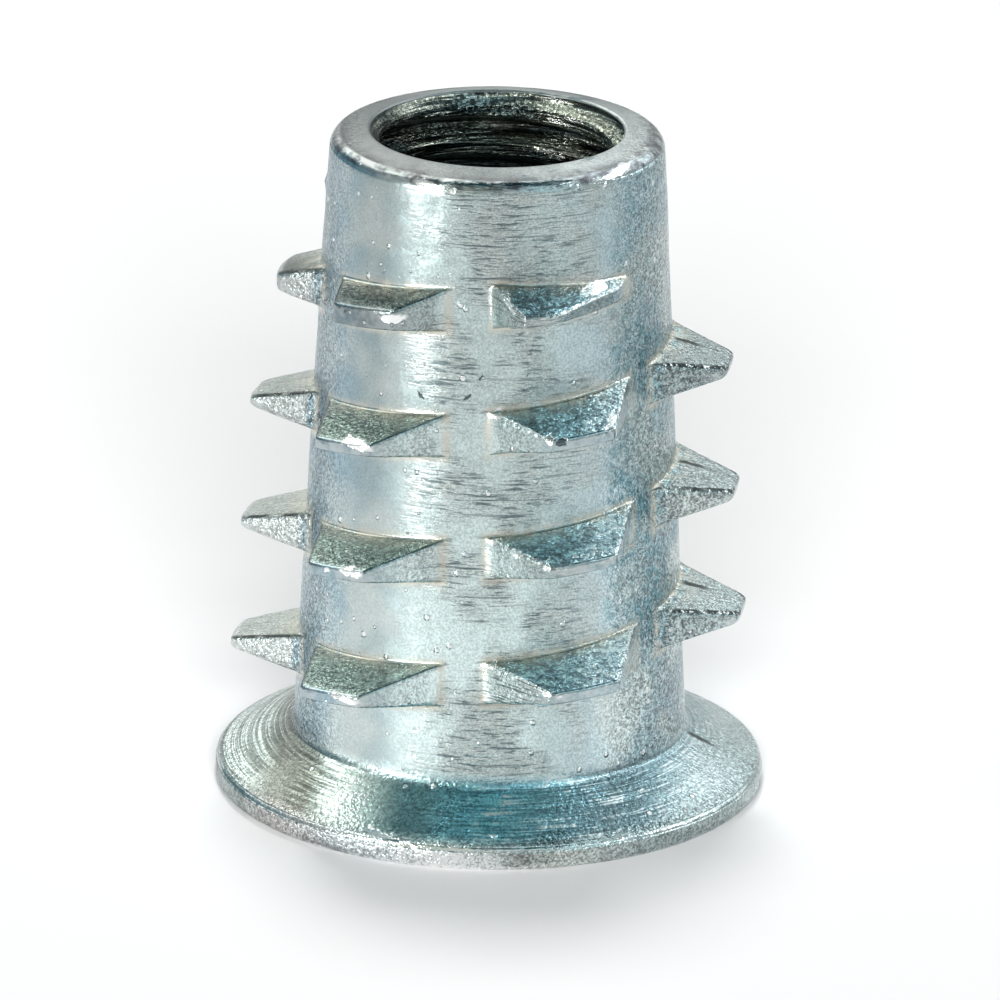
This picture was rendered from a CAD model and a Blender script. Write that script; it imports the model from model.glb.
"""Flanged threaded insert for wood: one zinc die casting, plated, with a tapped bore.

The insert stands on its flange at the origin, with its lead end up and the front half of its
casting mould toward -Y. Shapes are worked out in millimetres and go into the meshes in metres,
and materials read their places in metres. Angles run round the axis from the front (-Y) toward +X.
"""

from math import cos, pi, radians, sin, sqrt, tan

import bmesh
import bpy
import numpy as np
from mathutils import Matrix, Vector


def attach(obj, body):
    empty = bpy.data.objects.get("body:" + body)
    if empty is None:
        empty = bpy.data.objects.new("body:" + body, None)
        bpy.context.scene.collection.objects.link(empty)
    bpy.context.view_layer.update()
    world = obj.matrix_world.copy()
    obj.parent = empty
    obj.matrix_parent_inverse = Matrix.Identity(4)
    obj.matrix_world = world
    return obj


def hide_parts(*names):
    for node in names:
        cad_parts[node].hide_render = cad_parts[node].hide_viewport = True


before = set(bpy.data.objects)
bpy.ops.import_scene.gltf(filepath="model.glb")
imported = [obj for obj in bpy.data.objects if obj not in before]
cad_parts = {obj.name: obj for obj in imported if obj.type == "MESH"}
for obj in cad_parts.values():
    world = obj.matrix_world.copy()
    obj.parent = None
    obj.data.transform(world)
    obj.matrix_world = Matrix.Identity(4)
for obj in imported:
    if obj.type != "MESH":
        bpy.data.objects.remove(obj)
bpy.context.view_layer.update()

MM = 0.001

# Turned form
OVERALL_H = 25.0
BARREL_FOOT_R = 7.33        # radius of the barrel, carried down to the flange's face
BARREL_TIP_R = 6.08
BARREL_TAPER = (BARREL_FOOT_R - BARREL_TIP_R) / OVERALL_H
FLANGE_R = 10.075
RIM_H = 0.95
RIM_ROUND = 0.3
CONE_TOP_Z = 2.2            # where the flange's conical back meets the barrel
CONE_FILLET = 0.45
TIP_ROUND = 0.5
CROWN_H = 0.2
MOUTH_R = 4.65

# Bore and drive
BORE_R = 4.25
THREAD_PITCH = 1.5
THREAD_ROOT_R = 4.98
HEX_FLAT_R = 5.05
HEX_LEAD_R = 5.98
HEX_DEPTH = 7.0
SOCKET_FLOOR_R = 4.7        # where the socket's flat floor begins
POCKET_R = 5.2              # wall of the casting behind the tapped lining
LINING_BACK_R = 5.32        # back of the lining, buried in the casting
LINING_END_R = 4.6          # where the lining meets the casting, at the mouth and at the socket
LINING_FOOT_Z = HEX_DEPTH + 0.05
LINING_TOP_Z = OVERALL_H - 0.1
LINING_COLUMNS = 144
THREAD_ROOT_SHARE = 0.0625  # half of the thread's flat root, as a share of the pitch
THREAD_CREST_SHARE = 0.35   # from the root's middle to the crest's edge, as a share of the pitch

# Outer thread: its teeth, and how it runs out
TURNS = 4
LEAD = 4.7
THREAD_Z0 = 6.05            # height of the thread's middle at the front of the lowest turn
CREST_FOOT_R = 9.9          # radius of the crests, carried down to the flange's face
CREST_TIP_R = 8.15          # radius of the crests at the height of the lead end
ROOT_HALF_W = 0.78
CREST_HALF_W = 0.225
RAMP_TOE_X = 0.8            # where the ramps of the front and rear teeth leave the barrel
RAMP_SLOPE = radians(34)
END_WALL = radians(56.5)    # angle round the axis at which those teeth end
SIDE_TOE = radians(22.4)    # angle from the parting plane at which a side tooth's ramp starts
RIGHT_REAR_TOE = radians(15)
SIDE_SLOPE = radians(25.6)
RUN_OUT_SHARE = 0.72        # height of the teeth before the last, as a share of the full one
RUN_OUT_WALL = radians(52)
LAST_SLOPE = radians(50)
LAST_SHARE = 0.9
LAST_END_R = 6.9            # radius of the last tooth's crest at its end wall
LAST_FALL_X = 3.4           # where that crest starts to fall
LAST_MIDDLE = radians(34)   # angle round the axis of the last tooth's middle
LAST_SQUEEZE = 0.45         # how much lower its upper flank lies there
LAST_TILT = radians(3)
BARE_STRIP = radians(6)     # half of the strip behind, where the grid falls back by one turn

# Softness of the cast edges, as heights over which two faces blend
EDGE_BLEND = 0.3
CREST_BLEND = 0.16
TIP_BLEND = 0.75
ROOT_BLEND = 0.24

# A bead of flash on the left parting line, near the lead end
BEAD_ANGLE = -pi / 2
BEAD_Z = 22.6
BEAD_H = 0.14

# Cuts in the skin, and spots polished by handling: centre, tilt in degrees, half length and half
# width, in millimetres.
NICKS = [
    ((0.45, -6.8, 17.6), 55, 0.16, 0.045),
    ((0.02, -6.85, 16.9), 50, 0.17, 0.05),
    ((-1.75, -6.6, 16.75), -38, 0.18, 0.05),
    ((2.1, -6.5, 17.7), 60, 0.10, 0.04),
    ((3.65, -8.03, 15.88), -10, 0.20, 0.15),
]
POLISHED = [
    ((-2.65, -7.43, 19.96), 3, 0.55, 0.15),
    ((-3.81, -7.81, 15.30), -8, 0.70, 0.16),
    ((-4.86, -7.78, 10.41), 0, 0.13, 0.13),
    ((-3.87, -8.29, 10.54), 0, 0.45, 0.14),
    ((-4.10, -8.60, 5.80), -5, 0.60, 0.13),
    ((1.49, -7.08, 20.75), -45, 0.56, 0.11),
    ((4.34, -5.05, 20.79), 5, 0.62, 0.15),
    ((1.11, -6.58, 16.32), 0, 0.15, 0.15),
    ((3.18, -8.08, 15.95), 0, 0.16, 0.15),
    ((5.22, -6.43, 16.31), 80, 0.36, 0.15),
    ((1.08, -6.89, 11.55), 0, 0.13, 0.15),
    ((3.22, -8.34, 11.25), 0, 0.15, 0.13),
    ((2.01, -7.55, 11.31), 0, 0.11, 0.11),
    ((1.17, -7.14, 6.89), 0, 0.13, 0.15),
    ((3.30, -8.65, 6.47), 0, 0.15, 0.13),
    ((-1.64, -5.83, 24.48), -12, 0.62, 0.19),
    ((-0.74, -6.02, 24.45), 0, 0.16, 0.11),
    ((4.90, -3.29, 24.68), 20, 0.75, 0.12),
    ((-2.36, -9.61, 0.93), -10, 1.5, 0.10),
]

# Bright tears left by the tap, in the same form.
GLINTS = [
    ((-2.71, 3.27, 24.30), 0, 0.55, 0.14),
    ((1.54, 4.47, 24.76), -8, 0.60, 0.10),
    ((1.70, 3.99, 24.06), -8, 0.50, 0.16),
    ((1.38, 4.02, 22.85), -8, 0.70, 0.12),
    ((-3.30, 2.67, 23.04), 0, 0.35, 0.10),
    ((2.30, 3.70, 24.30), -10, 0.35, 0.10),
]

# Tint of the plating from left to right, as x in metres and colour.
BARREL_TINT = [
    (-0.0062, (0.20, 0.28, 0.32)), (-0.0050, (0.30, 0.405, 0.455)), (-0.0036, (0.31, 0.385, 0.405)),
    (-0.0018, (0.565, 0.665, 0.66)), (0.0015, (0.55, 0.655, 0.65)), (0.0050, (0.46, 0.575, 0.61)),
    (0.0062, (0.33, 0.415, 0.44)), (0.0069, (0.24, 0.30, 0.32)),
]
FLANGE_TINT = [
    (-0.0086, (0.47, 0.54, 0.53)), (-0.0070, (0.19, 0.205, 0.185)), (-0.0058, (0.19, 0.205, 0.185)),
    (-0.0045, (0.74, 0.86, 0.82)), (0.0010, (0.43, 0.55, 0.53)), (0.0055, (0.20, 0.29, 0.32)),
    (0.0065, (0.21, 0.31, 0.34)), (0.0085, (0.45, 0.53, 0.54)),
]
RIM_TINT = [
    (-0.0090, (0.27, 0.31, 0.305)), (-0.0067, (0.42, 0.41, 0.40)), (-0.0038, (0.51, 0.55, 0.56)),
    (0.0, (0.95, 1.0, 1.0)), (0.0037, (0.45, 0.48, 0.46)), (0.0074, (0.34, 0.40, 0.40)),
]

# What each point of the casting is marked with, from 0 to 1, for its material.
MARKS = ["tooth_foot", "tooth_ridge", "edge_wear", "upper_flank"]

# Height of the skins' relief, and half the depth of a spot along Y, in millimetres.
RELIEF = 0.1
SPOT_HALF_DEPTH = 1 / 1.1

# Camera: place in millimetres, the direction it looks in, its own right-hand direction, the lens
# in millimetres, and how many degrees round from the front it stands.
CAMERA_PLACE = (56.58, -392.66, 150.41)
CAMERA_FORWARD = (-0.13386, 0.93367, -0.33216)
CAMERA_RIGHT = (0.98912, 0.14653, 0.01327)
CAMERA_LENS = 413.46
CAMERA_TURN = 8.2

# Half the floor's width, and the height that the lamps face, in millimetres.
FLOOR_HALF = 900
LAMP_AIM_Z = 10

# A dark card lies just above the floor to the right and shows only in the metal. Distance from the
# insert in millimetres, and the angles round from the camera where it begins and ends there.
SHADE_CARD = [(17, 82, 96), (35, 81, 101), (55, 75, 103), (75, 89, 112), (95, 104, 120), (130, 110, 125)]
SHADE_CARD_Z = 0.1

# Patches of the sky seen in the metal: angle round from the camera, height, radius of the
# even part, outer radius, and colour.
SKY_PATCHES = [
    (180, 24, 25, 50, (0.60, 0.64, 0.63)),
    (-150, 48, 18, 36, (2.3, 2.35, 2.2)),
    (-40, 45, 10, 30, (0.40, 0.46, 0.38)),
    (45, 45, 10, 30, (0.60, 0.85, 0.92)),
    (128, 38, 12, 26, (1.8, 1.95, 2.0)),
    (152, 50, 8, 20, (1.7, 1.85, 1.9)),
    (180, 87, 20, 31, (0.02, 0.08, 0.10)),
    (-118, 5, 15, 40, (0.20, 0.33, 0.38)),
    (0, 0, 8, 26, (0.26, 0.26, 0.25)),
]

# Lamps: name, angle round from the camera, height angle, distance, width and height, power, and
# whether the metal mirrors it. Angles in degrees, lengths in millimetres.
LAMPS = [
    ("left_key", -52, 5, 340, (120, 220), 0.61, True),
    ("left_high", -52, 42, 340, (30, 50), 0.15, True),
    ("right_high", 63, 48, 340, (30, 40), 0.03, True),
    ("right_fill", 95, 37, 380, (60, 80), 0.15, True),
    ("front_wash", 1, 22, 2500, (1350, 750), 113.0, False),
    ("top_wash", -176, 68, 260, (70, 70), 0.49, False),
]


def barrel_r(z):
    """Radius of the barrel: it falls in a straight line from foot to tip."""
    return BARREL_FOOT_R - BARREL_TAPER * z


def crest_r(z):
    """Radius of the teeth's crests: it falls in a straight line too, and more steeply."""
    return CREST_FOOT_R + (CREST_TIP_R - CREST_FOOT_R) * z / OVERALL_H


def soft_min(a, b, k):
    """The lower of a and b, rounded where they come within k: min - (k - |a - b|)^2 / 4k."""
    return np.minimum(a, b) - np.maximum(k - np.abs(a - b), 0) ** 2 / (4 * k)


def soft_max(a, b, k):
    """The higher of a and b, rounded where they come within k: max + (k - |a - b|)^2 / 4k."""
    return np.maximum(a, b) + np.maximum(k - np.abs(a - b), 0) ** 2 / (4 * k)


def uneven(angle, z):
    """Slow unevenness of the cast skin in millimetres: a few sines of the angle and the height."""
    return (
        0.008 * np.sin(3 * angle + 0.9 * z)
        + 0.004 * np.sin(7 * angle - 1.7 * z + 1.0)
        + 0.002 * np.sin(11 * angle + 2.9 * z + 2.0)
        + 0.003 * np.sin(2 * angle - 4.3 * z + 0.5)
    )


def flash_bead(angle, z):
    """Height of the bead of flash: a bell curve of the angle and of the height."""
    return BEAD_H * np.exp(-((angle - BEAD_ANGLE) / 0.05) ** 2 - ((z - BEAD_Z) / 0.35) ** 2)


# Spacing of the grid's lines between two edges, as shares of the way, closer near both edges:
# first round the axis, over one quadrant, and then up a tooth's section.
GAP = [0.25, 0.5, 0.75, 0.92, 1]
RAMP = [0.03, 0.08, 0.16, 0.28, 0.42, 0.56, 0.7, 0.82, 0.9, 0.95, 0.98, 1]
CREST = [0.03, 0.07, 0.14, 0.26, 0.4, 0.55, 0.7, 0.82, 0.91, 0.96, 1]
WALL = [0.04, 0.1, 0.2, 0.33, 0.48, 0.63, 0.78, 0.88, 0.94, 0.98, 1]
SHORT_GAP = [0.5, 1]
SIDE_CREST = [0.1, 0.28, 0.5, 0.7, 0.85, 0.94, 0.98, 1]
AROUND = [GAP, RAMP, CREST, WALL, SHORT_GAP, GAP, RAMP, SIDE_CREST]
FLANK = [0.04, 0.1, 0.18, 0.32, 0.48, 0.64, 0.78, 0.87, 0.93, 0.97, 1]
LAND = [0.4, 0.72, 0.9, 1]
OUTSIDE = [0.05, 0.12, 0.22, 0.4, 0.68, 1]
MARGIN = 0.42               # how far past a tooth's root the close rows go
LEAST_DIVISOR = 0.05        # for lines that run nearly along the radius
LEAST_HEIGHT = 0.12         # of the section that the rows follow, where there is no tooth
FLANK_SHARE = 0.46          # most of the section's width that one flank takes, so the land stays


def spread(knots, spacings):
    """Lines between successive knots, each at knot + share * (next knot - knot)."""
    lines = []
    for start, end, shares in zip(knots[:-1], knots[1:], spacings):
        lines += [start + share * (end - start) for share in shares]
    return lines


def circle_meets(root, crest, dx, dy, ax, ay):
    """Where the line from (ax, ay) along (dx, dy) leaves the crest circle: s solves
    |a + s d| = crest, for a point a on the root circle and a direction d of length 1."""
    along = ax * dx + ay * dy
    s = -along + sqrt(along**2 + crest**2 - root**2)
    return ax + s * dx, ay + s * dy


def quadrant_lines(z, slope, wall, side_toe):
    """Angles from the mould's middle to the parting plane, following the edges of the teeth's
    plan at one height: ramp toe, ramp top, end wall, wall foot, and the side tooth's own ramp.
    Lines that would meet are kept a little apart."""
    root, crest = barrel_r(z), crest_r(z)
    toe_y = sqrt(root**2 - RAMP_TOE_X**2)
    x, y = circle_meets(root, crest, cos(slope), sin(slope), RAMP_TOE_X, toe_y)
    ramp_top = np.arctan2(x, y)
    wall_top = np.arcsin(root * sin(wall) / crest)
    side_x, side_y = root * cos(side_toe), root * sin(side_toe)
    x, y = circle_meets(root, crest, cos(SIDE_SLOPE), -sin(SIDE_SLOPE), side_x, side_y)
    side_top = np.arctan2(x, y)
    knots = [0, np.arcsin(RAMP_TOE_X / root), min(ramp_top, wall_top - 0.05), wall_top, wall,
             pi / 3, pi / 2 - side_toe, min(side_top, pi / 2 - 0.03), pi / 2]
    return np.array(spread(knots, AROUND))


def column_angles(turn):
    """Angle of every column on one turn. The four quadrants mirror each other at the mould's
    middle plane and the parting plane, but for the edges that differ from tooth to tooth."""
    z = THREAD_Z0 + LEAD * turn
    last = turn == TURNS - 1
    front_right = quadrant_lines(z, LAST_SLOPE if last else RAMP_SLOPE, END_WALL, SIDE_TOE)
    rear_right = quadrant_lines(z, RAMP_SLOPE, END_WALL, RIGHT_REAR_TOE)
    rear_left = quadrant_lines(z, RAMP_SLOPE, END_WALL, SIDE_TOE)
    front_left = quadrant_lines(z, RAMP_SLOPE, RUN_OUT_WALL if last else END_WALL, SIDE_TOE)
    back = [np.append(lines[-2::-1], 0.0) for lines in (rear_right, front_left)]
    return np.concatenate([front_right, pi - back[0], pi + rear_left, 2 * pi - back[1]])


def signed_angle(angle):
    """The same angle between -180 and 180 degrees."""
    return (angle + pi) % (2 * pi) - pi


def helix_centre(angle, turn):
    """Height of the thread's centre line. It rises by one lead per turn, and in the bare strip
    behind it falls back in a straight line to where the turn began."""
    a = signed_angle(angle)
    back = np.sign(a) * (pi - np.abs(a)) / BARE_STRIP * (pi - BARE_STRIP)
    return THREAD_Z0 + LEAD * (turn + np.where(np.abs(a) > pi - BARE_STRIP, back, a) / (2 * pi))


def tooth_plan(angle, turn, root, crest):
    """Plan of the teeth as a radius at each angle, the crest's radius, the upper flank's
    lowering, and whether the tooth is a side one. A line at distance c from the axis with its
    normal at angle n has the radius c / cos(angle - n), and the plan is the lower of the lines
    that bound a tooth."""
    a = signed_angle(angle)
    right = a > 0
    front = np.abs(a) < pi / 2
    m = np.where(front, np.abs(a), pi - np.abs(a))
    last_turn = turn == TURNS - 1
    side = m > pi / 3
    dying = last_turn & right & front & ~side
    low = last_turn & ~right & (front | side)

    rise = np.tan(np.where(dying, LAST_SLOPE, RAMP_SLOPE))
    wall = np.where(low & ~side, RUN_OUT_WALL, END_WALL)
    toe_y = np.sqrt(root**2 - RAMP_TOE_X**2)
    ramp = (toe_y - rise * RAMP_TOE_X) / np.maximum(np.cos(m) - rise * np.sin(m), LEAST_DIVISOR)
    end = root * np.sin(wall) / np.maximum(np.sin(m), LEAST_DIVISOR)
    plan = soft_min(ramp, end, EDGE_BLEND)

    fall_y = np.sqrt((root + LAST_SHARE * (crest - root)) ** 2 - LAST_FALL_X**2)
    end_x = root * np.sin(END_WALL)
    end_y = np.sqrt(np.maximum(LAST_END_R**2 - end_x**2, 0.01))
    drop = (fall_y - end_y) / (end_x - LAST_FALL_X)
    falling = (fall_y + drop * LAST_FALL_X) / (np.cos(m) + drop * np.sin(m))
    plan = np.where(dying, soft_min(plan, falling, EDGE_BLEND), plan)

    off = pi / 2 - m
    toe = np.where(right & ~front, RIGHT_REAR_TOE, SIDE_TOE)
    apex = root * (np.cos(toe) + np.sin(toe) / tan(SIDE_SLOPE))
    plan = np.where(side, apex / (np.cos(off) + np.sin(off) / tan(SIDE_SLOPE)), plan)

    share = np.where(dying, LAST_SHARE, np.where(low, RUN_OUT_SHARE, 1.0))
    missing = last_turn & right & ~dying
    squeeze = LAST_SQUEEZE + (a - LAST_MIDDLE) * (root * tan(LAST_TILT) + LEAD / (2 * pi))
    squeeze = np.where(dying, np.maximum(squeeze, 0), 0.0)
    return np.where(missing, 0.0, plan), root + share * (crest - root), squeeze, side


def turn_rows(turn):
    """Angle, height, radius and marks of the grid over one turn. Rows follow the tooth's section:
    margin, lower flank, land, upper flank, margin. The radius is the lower of plan, crest and
    flanks, and then the higher of that and the barrel, with blended edges. The marks are bell
    curves or straight ramps of the distance from a tooth's foot, ridge, crest and flank."""
    angle = column_angles(turn)[None, :]
    centre = helix_centre(angle, turn)
    root, crest = barrel_r(centre), crest_r(centre)
    plan, top, squeeze, side = tooth_plan(angle, turn, root, crest)
    lean = (ROOT_HALF_W - CREST_HALF_W) / (crest - root)
    upper = ROOT_HALF_W - squeeze
    most = FLANK_SHARE * (ROOT_HALF_W + upper) / lean
    height = np.clip(np.minimum(plan, top) - root, LEAST_HEIGHT, most)
    low_top, high_top = lean * height - ROOT_HALF_W, upper - lean * height
    middle = (low_top + high_top) / 2
    edge = np.full_like(centre, ROOT_HALF_W)
    mirrored = [[1 - share for share in shares[-2::-1]] + [1] for shares in (OUTSIDE, FLANK, LAND)]
    rows = [-edge - MARGIN]
    rows += spread([-edge - MARGIN, -edge, low_top, middle], mirrored)
    rows += spread([middle, high_top, upper, edge + MARGIN], [LAND, FLANK, OUTSIDE])
    w = np.concatenate(rows, 0)
    z = centre + w
    flank = barrel_r(centre) + np.minimum(w + ROOT_HALF_W, upper - w) / lean
    crown = soft_min(plan, top, CREST_BLEND)
    tooth = soft_min(crown, flank, np.where(side, TIP_BLEND, EDGE_BLEND))
    skin = barrel_r(z)
    radius = soft_max(skin, tooth, ROOT_BLEND)

    above = w > middle
    outside = np.maximum(np.maximum(-w - ROOT_HALF_W, w - upper), (root - plan) / 0.7)
    foot = np.exp(-((outside - 0.05) / 0.16) ** 2)
    ridge = np.exp(-((plan - flank) / np.where(side, 0.24, 0.10)) ** 2)
    ridge = ridge * above * (np.minimum(flank, top) > root + 0.1)
    wear = np.exp(-np.maximum(np.minimum(plan, top) - tooth, 0) / 0.15) * (crown > root + 0.3)
    wear = wear * (tooth > root) * np.exp(-((tooth - top) / 0.5) ** 2)
    upper_flank = np.clip((crown - flank) / 0.12, 0, 1) * above * (tooth > root + 0.05)
    return np.broadcast_to(angle, z.shape), z, radius, foot, ridge, wear, upper_flank


def arc(cx, cz, r, start, end, steps):
    """Points (radius, height) on an arc about (cx, cz), from one angle to another in degrees."""
    a = np.radians(np.linspace(start, end, steps))
    return np.stack([cx + r * np.cos(a), cz + r * np.sin(a)], 1)


def line(start, end, shares):
    """Points (radius, height) at shares of the way along a straight line."""
    start, end = np.array(start), np.array(end)
    return start + np.array(shares)[:, None] * (end - start)


def turned_rows(points, angle, worn=()):
    """Rows of a turned surface: each profile point (radius, height) carried round the axis. The
    rows numbered in worn are edges that handling has smoothed."""
    points = np.asarray(points)
    shape = (len(points), len(angle))
    r, z = (np.broadcast_to(points[:, i, None], shape) for i in (0, 1))
    none, wear = np.zeros(shape), np.zeros(shape)
    wear[list(worn)] = 1
    return np.broadcast_to(angle, shape), z, r, none, none, wear, none


def between(before, after, shares):
    """Rows at shares of the way from the last row of one block to the first of the next."""
    s = np.array(shares)[:, None]
    return tuple(b[-1] + s * (a[0] - b[-1]) for b, a in zip(before, after))


def flange_profile():
    """Profile from the underside's inner edge out over the rim, up the conical back and through
    the fillet into the barrel, and the numbers of its points on the rim's worn upper edge. The
    fillet's arc touches both lines at reach = radius * tan(half the turn) from their corner."""
    flat_r = FLANGE_R - RIM_ROUND
    lean = np.degrees(np.arctan2(CONE_TOP_Z - RIM_H, flat_r - barrel_r(CONE_TOP_Z)))
    taper = np.arctan(BARREL_TAPER)
    reach = CONE_FILLET * tan((pi / 2 - taper - radians(lean)) / 2)
    fillet_x = barrel_r(CONE_TOP_Z) - reach * sin(taper) + CONE_FILLET * cos(taper)
    fillet_z = CONE_TOP_Z + reach * cos(taper) + CONE_FILLET * sin(taper)
    foot = line([HEX_LEAD_R, 0], [flat_r, 0], [0, 0.02, 0.1, 0.3, 0.5, 0.7, 0.9])
    rim_low = arc(flat_r, RIM_ROUND, RIM_ROUND, -90, 0, 8)
    rim_high = arc(flat_r, RIM_H - RIM_ROUND, RIM_ROUND, 0, 90 - lean, 7)
    fillet = arc(fillet_x, fillet_z, CONE_FILLET, 270 - lean, 180 + np.degrees(taper), 9)
    back = line(rim_high[-1], fillet[0], [0.06, 0.2, 0.35, 0.5, 0.65, 0.8, 0.94])
    edge = len(foot) + len(rim_low)
    return np.concatenate([foot, rim_low, rim_high, back, fillet]), range(edge + 2, edge + 6)


def mouth_profile():
    """Profile from the lead end's rounded edge over the crown and the lip, and down the hidden
    wall behind the tapped lining, and the numbers of its points on the worn rounded edge."""
    tip = arc(BARREL_TIP_R - TIP_ROUND, OVERALL_H - CROWN_H - TIP_ROUND, TIP_ROUND, 3, 90, 10)
    crown = line(tip[-1], [MOUTH_R, OVERALL_H], [0.06, 0.2, 0.4, 0.6, 0.8, 0.92])
    lip_offsets = [[0.09, 0.085], [0.06, 0.065], [0.03, 0.035], [0, 0], [0.2, -0.15]]
    lip = np.array([LINING_END_R, LINING_TOP_Z]) + lip_offsets
    wall = [[POCKET_R, LINING_TOP_Z - 0.4], [POCKET_R, OVERALL_H - 3], [POCKET_R, HEX_DEPTH + 2]]
    return np.concatenate([tip, crown, lip, wall]), range(2, 8)


def socket_rows(angle):
    """Rows of the socket's floor, the six flats and the conical lead-in. The hex is
    r = flat / cos(angle mod 60 - 30), and the lead-in is the 45 degree cone r = R - z."""
    hexagon = HEX_FLAT_R / np.cos(angle % (pi / 3) - pi / 6)
    cone_z = HEX_LEAD_R - hexagon
    floor = turned_rows([[POCKET_R, HEX_DEPTH + 0.5], [LINING_END_R, LINING_FOOT_Z],
                         [SOCKET_FLOOR_R - 0.06, HEX_DEPTH + 0.012], [SOCKET_FLOOR_R, HEX_DEPTH]], angle)

    def rows(shares, z, r):
        """Rows whose height and radius are functions of the share of the way."""
        none = np.zeros((len(shares), len(angle)))
        share = np.array(shares)[:, None]
        return angle + none, z(share) + none, r(share) + none, none, none, none, none

    across = rows([0.3, 0.6, 0.85, 0.97], lambda s: HEX_DEPTH,
                  lambda s: SOCKET_FLOOR_R + s * (hexagon - SOCKET_FLOOR_R))
    wall = rows([0.004, 0.02, 0.2, 0.4, 0.6, 0.8, 0.94, 0.99],
                lambda s: HEX_DEPTH + s * (cone_z - HEX_DEPTH), lambda s: hexagon)
    lead_in = rows([0.04, 0.3, 0.65, 0.94],
                   lambda s: cone_z * (1 - s), lambda s: HEX_LEAD_R - cone_z * (1 - s))
    return [floor, across, wall, lead_in]


def put_mesh(name, points, faces, body="root"):
    """A smooth mesh object from points in millimetres and faces of point numbers. With a body it
    is a piece of the insert, and without one it belongs to the studio."""
    mesh = bpy.data.meshes.new(name)
    mesh.from_pydata((points * MM).tolist(), [], faces.tolist())
    mesh.polygons.foreach_set("use_smooth", np.ones(len(faces), dtype=bool))
    mesh.update()
    piece = bpy.data.objects.new(name, mesh)
    bpy.context.scene.collection.objects.link(piece)
    if body:
        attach(piece, body)
        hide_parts("insert_body")
    return piece


def around(angle, r, z):
    """Points from angle, radius and height: x = r sin(angle), y = -r cos(angle)."""
    return np.stack([r * np.sin(angle), -r * np.cos(angle), z], -1).reshape(-1, 3)


def closed_faces(rows, columns, wrap_rows=True, wrap_columns=True):
    """Four-sided faces between neighbouring rows and columns, joined end to end where wrapped."""
    i = np.arange(rows if wrap_rows else rows - 1)[:, None]
    j = np.arange(columns if wrap_columns else columns - 1)[None, :]
    up, on = (i + 1) % rows, (j + 1) % columns
    quads = [i * columns + j, i * columns + on, up * columns + on, up * columns + j]
    return np.stack([q + 0 * (i + j) for q in quads], -1).reshape(-1, 4)


def cast_body():
    """The casting as one closed grid: underside, flange, barrel with its teeth, lead end, the
    wall behind the lining, and the socket. Every row is a loop round the axis. The cast skin,
    between the worn edges of rim and lead end, is uneven by up to 0.017 mm."""
    turns = [turn_rows(t) for t in range(TURNS)]
    foot_angle, tip_angle = turns[0][0][0], turns[-1][0][0]
    flange_points, rim_edge = flange_profile()
    mouth_points, tip_edge = mouth_profile()
    flange = turned_rows(flange_points, foot_angle, rim_edge)
    mouth = turned_rows(mouth_points, tip_angle, tip_edge)
    blocks = [flange, between(flange, turns[0], [0.25, 0.5, 0.75])]
    for t, rows in enumerate(turns):
        blocks.append(rows)
        if t < TURNS - 1:
            blocks.append(between(rows, turns[t + 1], [0.2, 0.4, 0.6, 0.8]))
    blocks.append(between(turns[-1], mouth, np.arange(1, 12) / 12))
    outer_rows = sum(len(block[0]) for block in blocks)
    blocks += [mouth, *socket_rows(foot_angle)]
    angle, z, r, *marks = (np.concatenate(rows) for rows in zip(*blocks))

    skin = np.zeros((len(z), 1))
    skin[rim_edge[1]:outer_rows + tip_edge[4]] = 1
    a = signed_angle(angle)
    r = r + skin * uneven(a, z) + flash_bead(a, z)
    piece = put_mesh("cast_body", around(angle, r, z), closed_faces(*z.shape))
    for name, values in zip(MARKS, marks):
        piece.data.attributes.new(name, "FLOAT", "POINT").data.foreach_set("value", values.ravel())
    return piece


def thread_profile():
    """Shares of the pitch and radii over one turn of a 60 degree thread, crest, flank, root,
    flank, with close rows at the corners. A flank is a straight line from root to crest."""
    share = np.array([0, 0.07, 0.13, 0.149, 0.17, 0.25, 0.35, 0.42, 0.438, 0.46, 0.5,
                      0.54, 0.562, 0.58, 0.65, 0.75, 0.83, 0.851, 0.87, 0.93])
    off = np.abs(share - 0.5)
    flank = (off - THREAD_ROOT_SHARE) / (THREAD_CREST_SHARE - THREAD_ROOT_SHARE)
    return share, THREAD_ROOT_R + np.clip(flank, 0, 1) * (BORE_R - THREAD_ROOT_R)


def tapped_bore():
    """The bore's tapped lining as a closed sleeve. Its rows are z = z_row + pitch * angle / 360,
    kept between the ends, so the thread runs in one helix. A 45 degree cone opens each end. The
    points that meet, at the sleeve's seam and at its ends, are merged."""
    low, high = LINING_FOOT_Z, LINING_TOP_Z
    share, radius = thread_profile()
    pitches = int(np.ceil((high - low) / THREAD_PITCH)) + 1
    start = low + THREAD_PITCH * (np.arange(-1, pitches)[:, None] + share[None, :]).ravel()
    radius = np.tile(radius, pitches + 1)
    angle = np.linspace(0, 2 * pi, LINING_COLUMNS + 1)
    z = np.clip(start[:, None] + THREAD_PITCH * angle / (2 * pi), low, high)
    r = np.broadcast_to(radius[:, None], z.shape)
    near_end = np.minimum(z - low, high - z)
    r = np.clip(r, LINING_END_R - near_end, LINING_END_R + 0.9 * near_end)
    back_z = np.array([[high - 0.28], [low + 0.35]]) + 0 * angle
    z = np.concatenate([z, back_z])
    r = np.concatenate([r, LINING_BACK_R + 0 * back_z])
    angle = np.broadcast_to(angle, z.shape)
    faces = closed_faces(*z.shape, wrap_columns=False)[:, ::-1]
    piece = put_mesh("tapped_bore", around(angle, r, z), faces)
    bm = bmesh.new()
    bm.from_mesh(piece.data)
    bmesh.ops.remove_doubles(bm, verts=bm.verts, dist=0.002 * MM)
    bm.to_mesh(piece.data)
    bm.free()
    return piece


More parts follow.
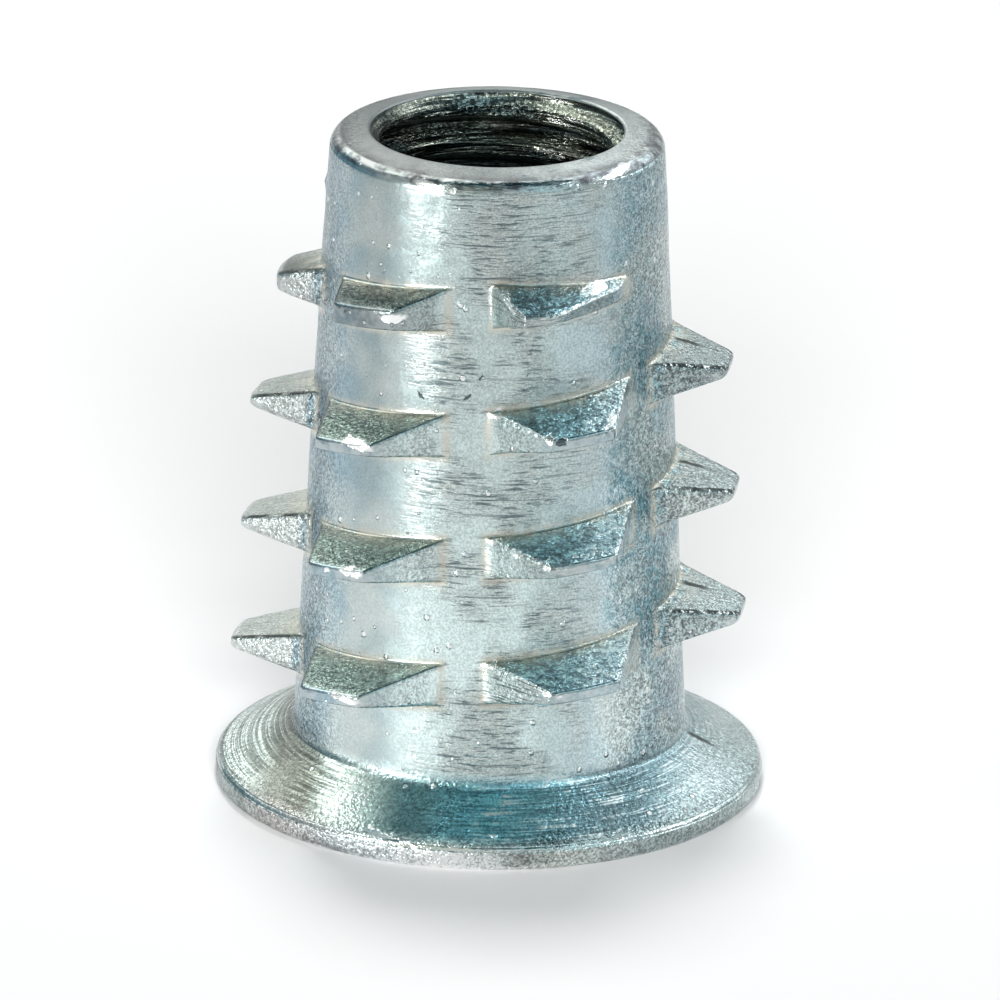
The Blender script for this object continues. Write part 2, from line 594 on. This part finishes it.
class Nodes:
    """Adds nodes to a material or world and joins them as they are made. Colours are red, green
    and blue."""

    def __init__(self, owner):
        owner.use_nodes = True
        self.tree = owner.node_tree
        self.tree.nodes.clear()

    def add(self, kind, inputs=(), out=0, **settings):
        """A node with its inputs linked or set, and the output asked for."""
        node = self.tree.nodes.new("ShaderNode" + kind)
        for key, value in settings.items():
            setattr(node, key, value)
        for key, value in dict(inputs).items():
            if isinstance(value, bpy.types.NodeSocket):
                self.tree.links.new(value, node.inputs[key])
            else:
                node.inputs[key].default_value = value
        return node.outputs[out] if len(node.outputs) else node

    def math(self, operation, a, b=0.0, c=0.0):
        """One operation on up to three values."""
        return self.add("Math", {0: a, 1: b, 2: c}, operation=operation)

    def times(self, first, *others):
        """All the values multiplied together."""
        for other in others:
            first = self.math("MULTIPLY", first, other)
        return first

    def most(self, first, *others):
        """The highest of the values."""
        for other in others:
            first = self.math("MAXIMUM", first, other)
        return first

    def plus(self, base, share, value):
        """base + share * value."""
        return self.math("MULTIPLY_ADD", value, share, base)

    def less(self, value, share=1.0):
        """1 - share * value."""
        return self.plus(1.0, -share, value)

    def distance(self, value, centre):
        """|value - centre|."""
        return self.math("ABSOLUTE", self.math("SUBTRACT", value, centre))

    def smooth(self, value, low, high, to_low=0.0, to_high=1.0):
        """Smooth step from to_low, where the value is low, to to_high, where it is high."""
        ends = {"From Min": low, "From Max": high, "To Min": to_low, "To Max": to_high}
        return self.add("MapRange", {"Value": value, **ends}, interpolation_type="SMOOTHSTEP")

    def mix(self, factor, a, b, blend="MIX"):
        """From a to b, by a factor from 0 to 1. A Mix node's colours are its inputs 6 and 7."""
        a, b = ((*colour, 1) if isinstance(colour, tuple) else colour for colour in (a, b))
        return self.add("Mix", {0: factor, 6: a, 7: b}, out=2, data_type="RGBA", blend_type=blend)

    def tone(self, factor, tint, by):
        """The tint multiplied by a colour or a value, as far as the factor says."""
        return self.mix(factor, tint, by, "MULTIPLY")

    def along(self, value, stops):
        """Colour that changes smoothly from stop to stop of a value."""
        colour = stops[0][1]
        for (low, _), (high, following) in zip(stops, stops[1:]):
            colour = self.mix(self.smooth(value, low, high), colour, following)
        return colour

    def noise(self, place, scale, detail=2.0, rough=0.5, stretch=None):
        """Noise from 0 to 1, its grains closer together along the axes that stretch makes longer."""
        if stretch:
            place = self.add("VectorMath", {0: place, 1: stretch}, operation="MULTIPLY")
        return self.add("TexNoise", {"Vector": place, "Scale": scale, "Detail": detail,
                                     "Roughness": rough})

    def dots(self, place, scale, edge, middle, few, many):
        """Round dots in the cells of an even scatter, but only in the cells whose random number
        is past few."""
        from_centre = self.add("TexVoronoi", {"Vector": place, "Scale": scale}, out="Distance")
        colour = self.add("TexVoronoi", {"Vector": place, "Scale": scale}, out="Color")
        chosen = self.add("SeparateColor", {0: colour})
        return self.times(self.smooth(from_centre, edge, middle), self.smooth(chosen, few, many))

    def ragged(self, place, scale, reach):
        """The place shaken by up to half the reach either way, so that marks get ragged edges."""
        shake = self.add("TexNoise", {"Vector": place, "Scale": scale}, out="Color")
        moved = self.add("VectorMath", {0: shake, 1: reach, 2: place}, operation="MULTIPLY_ADD")
        return self.add("VectorMath", {0: moved, 1: Vector(reach) / 2}, operation="SUBTRACT")

    def spot(self, place, centre, tilt, length, width):
        """A mark in the skin: 1 inside an ellipsoid about the centre, long in the direction
        turned up from X by tilt. Lengths in millimetres."""
        off = self.add("VectorMath", {0: place, 1: Vector(centre) * MM}, operation="SUBTRACT")
        off = self.add("VectorRotate", {"Vector": off, "Axis": (0, 1, 0), "Angle": radians(tilt)})
        reach = Vector((1 / length, 1 / SPOT_HALF_DEPTH, 1 / width)) / MM
        off = self.add("VectorMath", {0: off, 1: reach}, operation="MULTIPLY")
        off = self.add("VectorMath", {0: off}, out="Value", operation="LENGTH")
        return self.smooth(off, 1.15, 0.7)

    def spots(self, place, table):
        """The strongest of all the spots in a table."""
        return self.most(0.0, *(self.spot(place, *row) for row in table))

    def metal(self, tint, roughness, height):
        """Bare metal with a relief whose height 1 stands for RELIEF."""
        normal = self.add("Bump", {"Height": height, "Distance": RELIEF * MM, "Strength": 1.0})
        shader = self.add("BsdfPrincipled", {"Base Color": tint, "Metallic": 1.0,
                                             "Roughness": roughness, "Normal": normal})
        self.add("OutputMaterial", {"Surface": shader})


class PlatedSkin(Nodes):
    """Skin of the plated casting. Areas, patterns and marks are found first, as values from 0 to
    1, and the tint, the roughness and the relief are then made from them."""

    def __init__(self, material):
        super().__init__(material)
        self.find_areas()
        self.find_patterns()
        self.find_marks()

    def find_areas(self):
        """Where a point lies, with lengths in metres. Carried down along the barrel's taper to the
        flange's face, the radius tells how far the point stands out from the barrel."""
        self.place = self.add("TexCoord", out="Object")
        self.x, self.y, self.z = (self.add("SeparateXYZ", {0: self.place}, out=axis) for axis in "XYZ")
        marks = (self.add("Attribute", attribute_name=name, out="Fac") for name in MARKS)
        self.foot, self.ridge, self.wear, self.upper_flank = marks
        squares = self.math("ADD", self.times(self.x, self.x), self.times(self.y, self.y))
        self.radius = self.math("SQRT", squares)
        self.carried_down = self.plus(self.radius, BARREL_TAPER, self.z)
        self.across = self.math("ABSOLUTE", self.x)
        self.left = self.smooth(self.x, 0.0007, -0.0007)
        self.rim = self.smooth(self.z, 0.0013, 0.0009)
        self.flange = self.smooth(self.z, 0.0028, 0.0020)
        self.barrel = self.smooth(self.z, 0.0022, 0.0030)
        self.top = self.smooth(self.z, 0.02465, 0.0248)
        self.side = self.times(self.smooth(self.across, 0.0042, 0.0066), self.less(self.flange, 0.75))
        self.teeth = self.times(self.smooth(self.carried_down, 0.0075, 0.0078), self.barrel)
        self.side_teeth = self.times(self.smooth(self.across, 0.0060, 0.0066), self.teeth)

    def find_patterns(self):
        """Grain, patches and streaks that run over the whole skin."""
        self.sand = self.noise(self.place, 6000, 2, 0.65)
        self.grit = self.noise(self.place, 13000, 1)
        self.coarse = self.noise(self.place, 1500)
        self.mottle = self.noise(self.place, 2600, 2, 0.6)
        self.patch = self.noise(self.place, 320, 2, 0.6)
        self.fine_streak = self.noise(self.place, 1000, 3, 0.6, (1.3, 1.3, 11.0))
        self.long_streak = self.noise(self.place, 1000, 2, 0.6, (0.35, 0.35, 9.0))
        outward = self.add("CombineXYZ", {0: self.radius, 1: self.times(self.x, 0.05)})
        self.rings = self.noise(outward, 9000, 2, 0.6)

    def find_marks(self):
        """What casting, turning and handling have left, and how strong the sand grain is. Blisters
        lie all over, and smaller ones on the barrel's left."""
        ragged = self.ragged(self.place, 3500.0, (0.0003, 0.0003, 0.0003))
        self.cut = self.spots(ragged, NICKS)
        self.polish = self.spots(ragged, POLISHED)
        self.smoothed = self.times(self.less(self.wear, 0.6), self.less(self.top, 0.1),
                                   self.less(self.polish, 0.9))
        on_flange = self.times(self.flange, self.plus(0.45, 0.3, self.rim))
        grain = self.most(self.side, self.upper_flank, on_flange, self.times(self.teeth, 0.4))
        self.grain = self.times(self.plus(0.06, 0.94, grain), self.smoothed)

        middle = self.smooth(self.distance(self.x, 0.0012), 0.0018, 0.0042, 1.0, 0.0)
        self.rubbed = self.times(middle, self.barrel, self.smooth(self.patch, 0.40, 0.56))
        self.turned = self.times(self.flange, self.smooth(self.noise(self.place, 260, 1), 0.40, 0.56),
                                 self.smooth(self.x, 0.0085, 0.0055, 0.2, 1.0))

        blister = self.times(self.dots(self.place, 1100.0, 0.16, 0.09, 0.42, 0.47), self.smoothed)
        small = self.times(self.dots(self.place, 1900.0, 0.17, 0.11, 0.50, 0.54), self.barrel,
                           self.smooth(self.x, 0.0, -0.002), self.less(self.upper_flank))
        below_top = self.less(self.top)
        self.blister = self.most(self.times(blister, below_top), self.times(small, below_top))

    def relief(self):
        """The sum of the patterns, each by its own share."""
        height = self.times(self.sand, self.grain)
        height = self.plus(height, 0.16, self.times(self.coarse, self.smoothed))
        height = self.plus(height, 0.45, self.times(self.fine_streak, self.rubbed))
        height = self.plus(height, 0.45, self.times(self.rings, self.turned))
        height = self.plus(height, 0.5, self.blister)
        return self.plus(height, -0.6, self.cut)

    def roughness(self):
        """Uneven, duller round the mouth, and lower where handling has polished the plating."""
        rough = self.plus(self.smooth(self.coarse, 0.3, 0.7, 0.20, 0.30), 0.10, self.top)
        return self.times(rough, self.less(self.most(self.wear, self.polish), 0.45))

    def barrel_tint(self):
        """Film on the barrel, duller low on the right and mottled with teal at the far right, and
        on the side teeth. Pale patches lie over it."""
        tint = self.along(self.x, BARREL_TINT)
        low_right = self.times(self.smooth(self.x, 0.002, 0.003), self.smooth(self.x, 0.0050, 0.0042),
                               self.smooth(self.z, 0.018, 0.008))
        tint = self.tone(low_right, tint, (0.84, 0.83, 0.82))
        teal = self.times(self.smooth(self.z, 0.004, 0.010, 0.3, 1.0),
                          self.smooth(self.z, 0.022, 0.0185, 0.45, 1.0),
                          self.smooth(self.x, 0.0042, 0.0054),
                          self.smooth(self.mottle, 0.47, 0.58, 0.0, 0.8))
        tint = self.mix(teal, tint, (0.17, 0.33, 0.38))
        tint = self.mix(self.side_teeth, tint,
                        self.mix(self.left, (0.33, 0.385, 0.39), (0.47, 0.50, 0.49)))
        pale = self.times(self.smooth(self.patch, 0.42, 0.64, 0.0, 0.7),
                          self.smooth(self.x, -0.0060, -0.0046, 0.35, 1.0))
        return self.mix(pale, tint, (0.51, 0.55, 0.53))

    def upper_flank_tint(self):
        """Film on the teeth's upper flanks: blue on the right and brightest at the outer ends,
        olive on the left and darkest on the highest tooth."""
        tint = self.mix(self.left, (0.30, 0.48, 0.54), (0.27, 0.345, 0.31))
        outer_end = self.times(self.smooth(self.x, 0.0038, 0.0050), self.smooth(self.y, -0.0030, -0.0040))
        tint = self.mix(outer_end, tint, (0.62, 0.80, 0.86))
        tint = self.mix(self.side_teeth, tint,
                        self.mix(self.left, (0.38, 0.435, 0.44), (0.34, 0.375, 0.36)))
        deep = self.times(self.smooth(self.z, 0.0175, 0.0185), self.left,
                          self.smooth(self.patch, 0.62, 0.42))
        return self.mix(deep, tint, (0.07, 0.09, 0.08))

    def with_mouth(self, tint):
        """The mouth's own tint, bright on the right and duller on the left and behind, and a dark
        smear round its edge."""
        mouth = self.mix(self.smooth(self.x, 0.0, 0.005), (0.21, 0.225, 0.23), (0.56, 0.59, 0.59))
        tint = self.mix(self.top, tint, mouth)
        behind = self.times(self.top, self.smooth(self.y, 0.0025, 0.0050))
        tint = self.mix(behind, tint, (0.34, 0.37, 0.37))
        wiped = self.noise(self.place, 1200, 3, 0.6, (0.7, 0.7, 2.5))
        smear = self.times(self.smooth(self.distance(self.z, 0.02467), 0.00022, 0.00008),
                           self.smooth(wiped, 0.40, 0.54, 0.1, 0.9))
        return self.mix(smear, tint, (0.085, 0.08, 0.095))

    def film(self):
        """Tint of the film from area to area, with the deep blue front of the flange last."""
        flange_tint = self.mix(self.smooth(self.z, 0.0012, 0.0008),
                               self.along(self.x, FLANGE_TINT), self.along(self.x, RIM_TINT))
        tint = self.mix(self.flange, self.barrel_tint(), flange_tint)
        tint = self.mix(self.times(self.upper_flank, 0.9), tint, self.upper_flank_tint())
        tint = self.with_mouth(tint)
        front = self.times(self.flange, self.smooth(self.x, -0.0036, -0.0018),
                           self.smooth(self.x, 0.0058, 0.0010), self.smooth(self.z, 0.0008, 0.0012))
        deep_blue = self.mix(self.smooth(self.x, -0.0015, 0.0010), (0.065, 0.165, 0.195),
                             (0.21, 0.56, 0.70))
        return self.mix(self.times(front, 0.88), tint, deep_blue)

    def grained(self, tint):
        """The tint with its specks, blotches and fine film, and lighter toward the barrel's foot."""
        speck = self.plus(self.times(self.sand, 0.6), 0.4, self.grit)
        quiet = self.less(self.times(self.side_teeth, self.most(self.left, self.upper_flank)), 0.55)
        tint = self.tone(self.times(self.grain, quiet), tint, self.smooth(speck, 0.38, 0.62, 0.45, 1.45))
        blotched = self.times(self.upper_flank, self.less(self.side_teeth),
                              self.smooth(self.x, 0.0, 0.001, 0.3, 0.9))
        tint = self.tone(blotched, tint, self.smooth(self.mottle, 0.40, 0.60, 0.55, 1.4))
        calm = self.smooth(self.distance(self.x, -0.0034), 0.0006, 0.0018, 0.3, 0.8)
        fine = self.smooth(self.grit, 0.32, 0.68, 0.80, 1.18)
        tint = self.tone(self.times(self.smoothed, calm), tint, fine)
        foot_light = self.times(self.smooth(self.z, 0.019, 0.004, 1.0, 1.30),
                                self.smooth(self.z, 0.0030, 0.0022, 1.0, 0.92))
        return self.tone(1.0, tint, foot_light)

    def streaked(self, tint):
        """The tint with dark rubbed streaks on the barrel, and turned rings on the flange, whose
        brightest parts shine as dashes on the right."""
        streak = self.most(self.smooth(self.fine_streak, 0.45, 0.37),
                           self.smooth(self.long_streak, 0.40, 0.34))
        tint = self.mix(self.times(streak, self.rubbed, 0.85), tint, (0.12, 0.17, 0.19))
        ring_tone = self.math("POWER", self.smooth(self.rings, 0.42, 0.58, 0.66, 1.25),
                              self.smooth(self.x, -0.003, -0.006, 1.0, 1.7))
        tint = self.tone(self.turned, tint, ring_tone)
        dash = self.times(self.smooth(self.rings, 0.54, 0.60), self.smooth(self.coarse, 0.46, 0.56),
                          self.turned, self.smooth(self.x, 0.0, 0.0015), self.smooth(self.z, 0.0009, 0.0011))
        return self.mix(dash, tint, (0.95, 0.98, 0.98))

    def edged(self, tint):
        """The tint with pale lines round the teeth's feet, rubbed edges and blisters, duller ramps,
        and ridges that are bright beads on the front right and dark creases elsewhere, torn bright
        in places on the right-hand side teeth."""
        foot_line = self.times(self.foot, self.smooth(self.coarse, 0.36, 0.54, 0.35, 0.9))
        tint = self.mix(foot_line, tint, (0.66, 0.63, 0.55))
        rubbed_edge = self.times(self.wear, self.smooth(self.coarse, 0.42, 0.58, 0.05, 0.45))
        tint = self.mix(rubbed_edge, tint, (0.72, 0.76, 0.77))
        tint = self.mix(self.times(self.blister, 0.8), tint, (0.95, 0.96, 0.96))

        ramp = self.times(self.teeth, self.smooth(self.across, 0.0062, 0.0058), self.less(self.upper_flank))
        on_left = self.mix(self.smooth(self.z, 0.0168, 0.0174), (0.92, 0.92, 0.92), (0.66, 0.66, 0.66))
        tint = self.tone(ramp, tint, self.mix(self.left, (0.80, 0.80, 0.80), on_left))

        front_right = self.times(self.smooth(self.x, 0.0004, 0.0008), self.smooth(self.x, 0.0062, 0.0058),
                                 self.smooth(self.y, 0.0, -0.001))
        beads = self.times(self.ridge, front_right, self.smooth(self.sand, 0.48, 0.56))
        tint = self.mix(beads, tint, (0.95, 0.97, 0.97))
        wide_ridge = self.most(self.ridge, self.times(self.smooth(self.ridge, 0.15, 0.5), self.side_teeth))
        crease = self.times(wide_ridge, self.less(front_right),
                            self.smooth(self.coarse, 0.30, 0.50, 0.35, 1.0))
        tint = self.mix(crease, tint, (0.05, 0.06, 0.06))
        torn = self.times(self.ridge, self.side_teeth, self.less(self.left),
                          self.smooth(self.sand, 0.54, 0.60))
        return self.mix(torn, tint, (0.95, 0.97, 0.97))

    def parting_flaw(self):
        """A gap along the parting plane on the right-hand teeth and flange, and a fine broken line
        on both sides. Both wander with the coarse noise, by up to 0.15 mm either way."""
        off = self.plus(self.math("SUBTRACT", self.y, 0.00015), 0.0003, self.coarse)
        off = self.math("ABSOLUTE", off)
        gap = self.times(self.smooth(off, 0.00016, 0.00009), self.smooth(self.carried_down, 0.0074, 0.0076),
                         self.smooth(self.carried_down, 0.0088, 0.0081), self.smooth(self.x, 0.0, 0.001))
        line = self.times(self.smooth(off, 0.00006, 0.00003), self.smooth(self.radius, 0.0068, 0.0070),
                          self.smooth(self.coarse, 0.44, 0.50), 0.55)
        return self.times(self.most(gap, line), 0.9)


def plated_zinc():
    """Bright plating over the cast skin, its film tinted in patches of blue, teal and straw. Sand
    grain is strong toward the parting line, on the flange and on the upper flanks. Rubbed streaks
    run round the middle of each mould half, and handled edges are smooth and bright."""
    material = bpy.data.materials.new("plated_zinc_casting")
    skin = PlatedSkin(material)
    tint = skin.edged(skin.streaked(skin.grained(skin.film())))
    tint = skin.mix(skin.polish, tint, (1.0, 1.0, 1.0))
    tint = skin.mix(skin.times(skin.cut, 0.85), tint, (0.06, 0.08, 0.09))
    tint = skin.mix(skin.parting_flaw(), tint, (0.02, 0.025, 0.025))
    skin.metal(tint, skin.roughness(), skin.relief())
    return material


def tapped_zinc():
    """Zinc cut by the tap: dark and streaked, with fine scores running round the thread, torn,
    sparkling grit near the mouth, and glints on the tears."""
    material = bpy.data.materials.new("tapped_zinc_thread")
    n = Nodes(material)
    place = n.add("TexCoord", out="Object")
    x, z = (n.add("SeparateXYZ", {0: place}, out=axis) for axis in "XZ")
    score = n.noise(place, 1000, 3, 0.65, (0.25, 0.25, 7.0))
    grit = n.noise(place, 7000, 2, 0.65)
    patch = n.noise(place, 420, 2, 0.5, (1.0, 1.0, 2.0))
    torn = n.times(n.smooth(z, 0.0222, 0.0240, 0.35, 1.0), n.smooth(patch, 0.35, 0.6, 0.4, 1.0))
    height = n.plus(n.times(score, 0.8), 1.6, n.times(grit, torn))

    tint = n.mix(n.smooth(score, 0.42, 0.60), (0.03, 0.045, 0.045), (0.60, 0.63, 0.54))
    tint = n.mix(n.smooth(patch, 0.45, 0.65, 0.0, 0.7), tint, (0.13, 0.20, 0.21))
    tint = n.tone(torn, tint, n.smooth(grit, 0.42, 0.60, 0.2, 1.9))
    depth = n.times(n.smooth(z, 0.0242, 0.0228, 1.0, 0.55), n.smooth(x, -0.0043, -0.0028, 0.3, 1.0))
    tint = n.tone(1.0, tint, depth)
    glint = n.spots(n.ragged(place, 5000.0, (0.0006, 0.0006, 0.0003)), GLINTS)
    glint = n.times(glint, n.smooth(score, 0.40, 0.50))
    tint = n.mix(glint, tint, (1.0, 1.0, 0.80))
    tint = n.tone(glint, tint, (2.0, 2.0, 2.0))
    n.metal(tint, 0.23, height)
    return material


def matt(name, colour):
    """A plain matt material for the studio."""
    material = bpy.data.materials.new(name)
    n = Nodes(material)
    shader = n.add("BsdfPrincipled", {"Base Color": (*colour, 1), "Roughness": 0.9})
    n.add("OutputMaterial", {"Surface": shader})
    return material


def camera():
    """A long lens a little to the right of the mould's middle, looking down on the insert."""
    forward = Vector(CAMERA_FORWARD).normalized()
    up = Vector(CAMERA_RIGHT).cross(forward).normalized()
    right = forward.cross(up)
    data = bpy.data.cameras.new("camera")
    data.sensor_width = 36
    data.lens = CAMERA_LENS
    data.clip_start, data.clip_end = 0.01, 20
    item = bpy.data.objects.new("camera", data)
    item.matrix_world = Matrix((right, up, -forward)).transposed().to_4x4()
    item.location = Vector(CAMERA_PLACE) * MM
    bpy.context.scene.collection.objects.link(item)
    bpy.context.scene.camera = item


def from_camera(turn, rise):
    """Direction at an angle round from the camera and an angle above the floor."""
    a, e = radians(turn + CAMERA_TURN), radians(rise)
    return Vector((sin(a) * cos(e), -cos(a) * cos(e), sin(e)))


def soft_lamp(name, turn, rise, distance, size, power, mirrored):
    """A rectangular lamp that faces the insert. It is either mirrored by the metal or lights the
    floor, and never both."""
    data = bpy.data.lights.new(name, "AREA")
    data.shape = "RECTANGLE"
    data.size, data.size_y = size[0] * MM, size[1] * MM
    data.energy = power
    data.color = (0.97, 1.0, 1.0)
    item = bpy.data.objects.new(name, data)
    direction = from_camera(turn, rise)
    item.location = (direction * distance + Vector((0, 0, LAMP_AIM_Z))) * MM
    item.rotation_euler = (-direction).to_track_quat("-Z", "Y").to_euler()
    item.visible_glossy, item.visible_diffuse = mirrored, not mirrored
    bpy.context.scene.collection.objects.link(item)


def pale_floor():
    """A square floor at the height of the flange's face."""
    corners = np.array([[-1, -1, 0], [1, -1, 0], [1, 1, 0], [-1, 1, 0]]) * FLOOR_HALF
    floor = put_mesh("floor", corners, np.array([[0, 1, 2, 3]]), None)
    floor.data.materials.append(matt("pale_floor", (0.795, 0.78, 0.782)))


def shade_card():
    """A curved card just above the floor, between its two edges at r sin(angle), -r cos(angle)."""
    reach, begin, end = np.array(SHADE_CARD).T
    a = np.radians(CAMERA_TURN + np.concatenate([begin, end]))
    points = around(a, np.concatenate([reach, reach]), 0 * a + SHADE_CARD_Z)
    strip = closed_faces(2, len(reach), False, False)
    card = put_mesh("shade_card", points, strip, None)
    card.visible_camera = card.visible_diffuse = card.visible_shadow = False
    card.data.materials.append(matt("shade_card", (0.04, 0.17, 0.21)))


def sky():
    """Surroundings that are light at the horizon and dark overhead. The metal shows them, and
    they don't light the floor."""
    world = bpy.data.worlds.new("studio")
    bpy.context.scene.world = world
    n = Nodes(world)
    toward = n.add("TexCoord", out="Generated")
    colour = (0.50, 0.54, 0.54)
    for turn, rise, inner, outer, patch in SKY_PATCHES:
        near = n.add("VectorMath", {0: toward, 1: from_camera(turn, rise)}, out="Value",
                     operation="DOT_PRODUCT")
        colour = n.mix(n.smooth(near, cos(radians(outer)), cos(radians(inner))), colour, patch)
    n.add("OutputWorld", {"Surface": n.add("Background", {"Color": colour, "Strength": 1.0})})
    world.cycles_visibility.diffuse = False


camera()
casting = cast_body()
casting.data.materials.append(plated_zinc())
bore = tapped_bore()
bore.data.materials.append(tapped_zinc())
pale_floor()
shade_card()
sky()
for lamp in LAMPS:
    soft_lamp(*lamp)
bpy.context.scene.view_settings.view_transform = "Standard"
